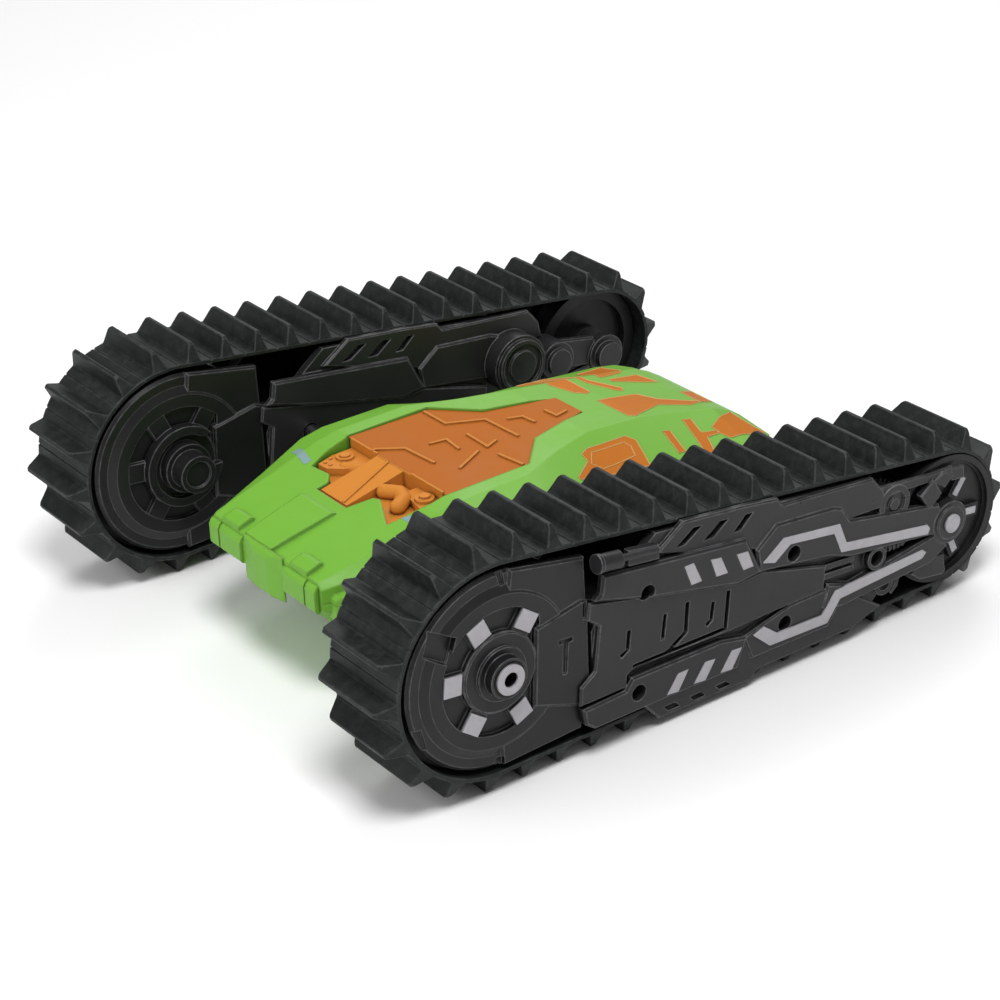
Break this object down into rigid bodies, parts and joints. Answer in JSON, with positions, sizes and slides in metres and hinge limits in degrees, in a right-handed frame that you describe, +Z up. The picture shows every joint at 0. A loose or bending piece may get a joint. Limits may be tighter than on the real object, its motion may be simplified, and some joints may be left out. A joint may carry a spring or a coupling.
{
  "type": "tracked tank chassis",
  "caption": "Low toy-scale hull between two wedge-shaped track units; each unit's front arm swings up and its belt is driven by a geared rear sprocket.",
  "frame": {"origin": "centre of the overall box, on the ground the belts stand on", "axes": "+X forward, +Y to the vehicle's left, +Z up"},
  "size_m": [0.2794, 0.2542, 0.0921],
  "materials": {
    "hull_green": "satin moulded",
    "inlay_orange": "satin moulded",
    "cover_black": "fine grained",
    "trim_silver": "satin silver paint",
    "belt_rubber": "matt moulded",
    "wheel_plastic": "matt",
    "gear_nylon": "dark natural",
    "steel_pin": "ground",
    "motor_can": "plated",
    "screw_black": "black oxide",
    "board_green": "solder mask",
    "cell_wrap": "shrink sleeve",
    "switch_white": "plain",
    "tube_black": "matt"
  },
  "bodies": {
    "chassis": {"hull_lower_tub": "hull_green", "hull_upper_shell": "hull_green", "deck_inlay": "inlay_orange", "nose_bumper": "hull_green", "battery_pack": "cell_wrap", "battery_door": "cover_black", "circuit_board": "board_green", "charge_socket": "cover_black", "switch_case": "cover_black", "lift_gearbox": "gear_nylon", "cross_tubes": "tube_black", "hull_screws": "screw_black", "cover_screws": "screw_black", "track_axle_pins": "steel_pin", "pivot_pins": "steel_pin", "drive_motors": "motor_can", "dampers": "cover_black", "frame_silver_trim": "trim_silver", "left_frame_outer_cover": "cover_black", "right_frame_outer_cover": "cover_black", "left_frame_inner_cover": "cover_black", "right_frame_inner_cover": "cover_black", "left_frame_core": "wheel_plastic", "right_frame_core": "wheel_plastic", "left_belt_rear": "belt_rubber", "right_belt_rear": "belt_rubber", "left_belt_flex": "belt_rubber", "right_belt_flex": "belt_rubber"},
    "switch_slider": {"power_switch": "switch_white"},
    "left_arm": {"left_arm_outer_cover": "cover_black", "left_arm_inner_cover": "cover_black", "left_arm_silver_trim": "trim_silver", "left_front_axle": "screw_black", "left_arm_lift_shaft": "steel_pin", "left_belt_front": "belt_rubber"},
    "left_front_wheel": {"left_front_wheel": "wheel_plastic"},
    "left_sprocket": {"left_rear_sprocket": "wheel_plastic", "left_rear_wheel_bars": "trim_silver", "left_rear_axle": "steel_pin", "left_drive_gear": "gear_nylon"},
    "left_compound_gear": {"left_compound_gear": "gear_nylon"},
    "left_pinion": {"left_motor_pinion": "gear_nylon"},
    "left_road_wheel_a": {"left_road_wheel_a": "wheel_plastic"},
    "left_road_wheel_b": {"left_road_wheel_b": "wheel_plastic"},
    "right_arm": {"right_arm_outer_cover": "cover_black", "right_arm_inner_cover": "cover_black", "right_arm_silver_trim": "trim_silver", "right_front_axle": "screw_black", "right_arm_lift_shaft": "steel_pin", "right_belt_front": "belt_rubber"},
    "right_front_wheel": {"right_front_wheel": "wheel_plastic"},
    "right_sprocket": {"right_rear_sprocket": "wheel_plastic", "right_rear_wheel_bars": "trim_silver", "right_rear_axle": "steel_pin", "right_drive_gear": "gear_nylon"},
    "right_compound_gear": {"right_compound_gear": "gear_nylon"},
    "right_pinion": {"right_motor_pinion": "gear_nylon"},
    "right_road_wheel_a": {"right_road_wheel_a": "wheel_plastic"},
    "right_road_wheel_b": {"right_road_wheel_b": "wheel_plastic"}
  },
  "joints": [
    {"name": "left_arm_pivot", "type": "hinge", "parent": "chassis", "child": "left_arm", "pos_m": [0.038, 0.0995, 0.043], "axis": [0, -1, 0], "range_deg": [0, 50], "deforming": ["left_belt_flex"]},
    {"name": "left_front_spin", "type": "hinge", "parent": "left_arm", "child": "left_front_wheel", "pos_m": [0.0939, 0.0995, 0.0463], "axis": [0, 1, 0], "continuous": true},
    {"name": "left_drive_spin", "type": "hinge", "parent": "chassis", "child": "left_sprocket", "pos_m": [-0.1061, 0.0995, 0.0336], "axis": [0, 1, 0], "continuous": true},
    {"name": "left_compound_spin", "type": "hinge", "parent": "chassis", "child": "left_compound_gear", "pos_m": [-0.0756, 0.0995, 0.0419], "axis": [0, 1, 0], "continuous": true},
    {"name": "left_pinion_spin", "type": "hinge", "parent": "chassis", "child": "left_pinion", "pos_m": [-0.0575, 0.0995, 0.0452], "axis": [0, 1, 0], "continuous": true},
    {"name": "left_road_a_spin", "type": "hinge", "parent": "chassis", "child": "left_road_wheel_a", "pos_m": [0.006, 0.0995, 0.01585], "axis": [0, 1, 0], "continuous": true},
    {"name": "left_road_b_spin", "type": "hinge", "parent": "chassis", "child": "left_road_wheel_b", "pos_m": [-0.024, 0.0995, 0.01585], "axis": [0, 1, 0], "continuous": true},
    {"name": "right_arm_pivot", "type": "hinge", "parent": "chassis", "child": "right_arm", "pos_m": [0.038, -0.0995, 0.043], "axis": [0, -1, 0], "range_deg": [0, 50], "deforming": ["right_belt_flex"]},
    {"name": "right_front_spin", "type": "hinge", "parent": "right_arm", "child": "right_front_wheel", "pos_m": [0.0939, -0.0995, 0.0463], "axis": [0, 1, 0], "continuous": true},
    {"name": "right_drive_spin", "type": "hinge", "parent": "chassis", "child": "right_sprocket", "pos_m": [-0.1061, -0.0995, 0.0336], "axis": [0, 1, 0], "continuous": true},
    {"name": "right_compound_spin", "type": "hinge", "parent": "chassis", "child": "right_compound_gear", "pos_m": [-0.0756, -0.0995, 0.0419], "axis": [0, 1, 0], "continuous": true},
    {"name": "right_pinion_spin", "type": "hinge", "parent": "chassis", "child": "right_pinion", "pos_m": [-0.0575, -0.0995, 0.0452], "axis": [0, 1, 0], "continuous": true},
    {"name": "right_road_a_spin", "type": "hinge", "parent": "chassis", "child": "right_road_wheel_a", "pos_m": [0.006, -0.0995, 0.01585], "axis": [0, 1, 0], "continuous": true},
    {"name": "right_road_b_spin", "type": "hinge", "parent": "chassis", "child": "right_road_wheel_b", "pos_m": [-0.024, -0.0995, 0.01585], "axis": [0, 1, 0], "continuous": true},
    {"name": "switch_slide", "type": "slide", "parent": "chassis", "child": "switch_slider", "axis": [1, 0, 0], "range_m": [0, 0.002]}
  ],
  "couplings": [
    {"joint": "left_compound_spin", "follows": "left_drive_spin", "ratio": -2.16},
    {"joint": "left_pinion_spin", "follows": "left_drive_spin", "ratio": 7.776},
    {"joint": "left_front_spin", "follows": "left_drive_spin", "ratio": 0.67098},
    {"joint": "left_road_a_spin", "follows": "left_drive_spin", "ratio": 3.1779},
    {"joint": "left_road_b_spin", "follows": "left_drive_spin", "ratio": 3.1779},
    {"joint": "right_compound_spin", "follows": "right_drive_spin", "ratio": -2.16},
    {"joint": "right_pinion_spin", "follows": "right_drive_spin", "ratio": 7.776},
    {"joint": "right_front_spin", "follows": "right_drive_spin", "ratio": 0.67098},
    {"joint": "right_road_a_spin", "follows": "right_drive_spin", "ratio": 3.1779},
    {"joint": "right_road_b_spin", "follows": "right_drive_spin", "ratio": 3.1779}
  ]
}
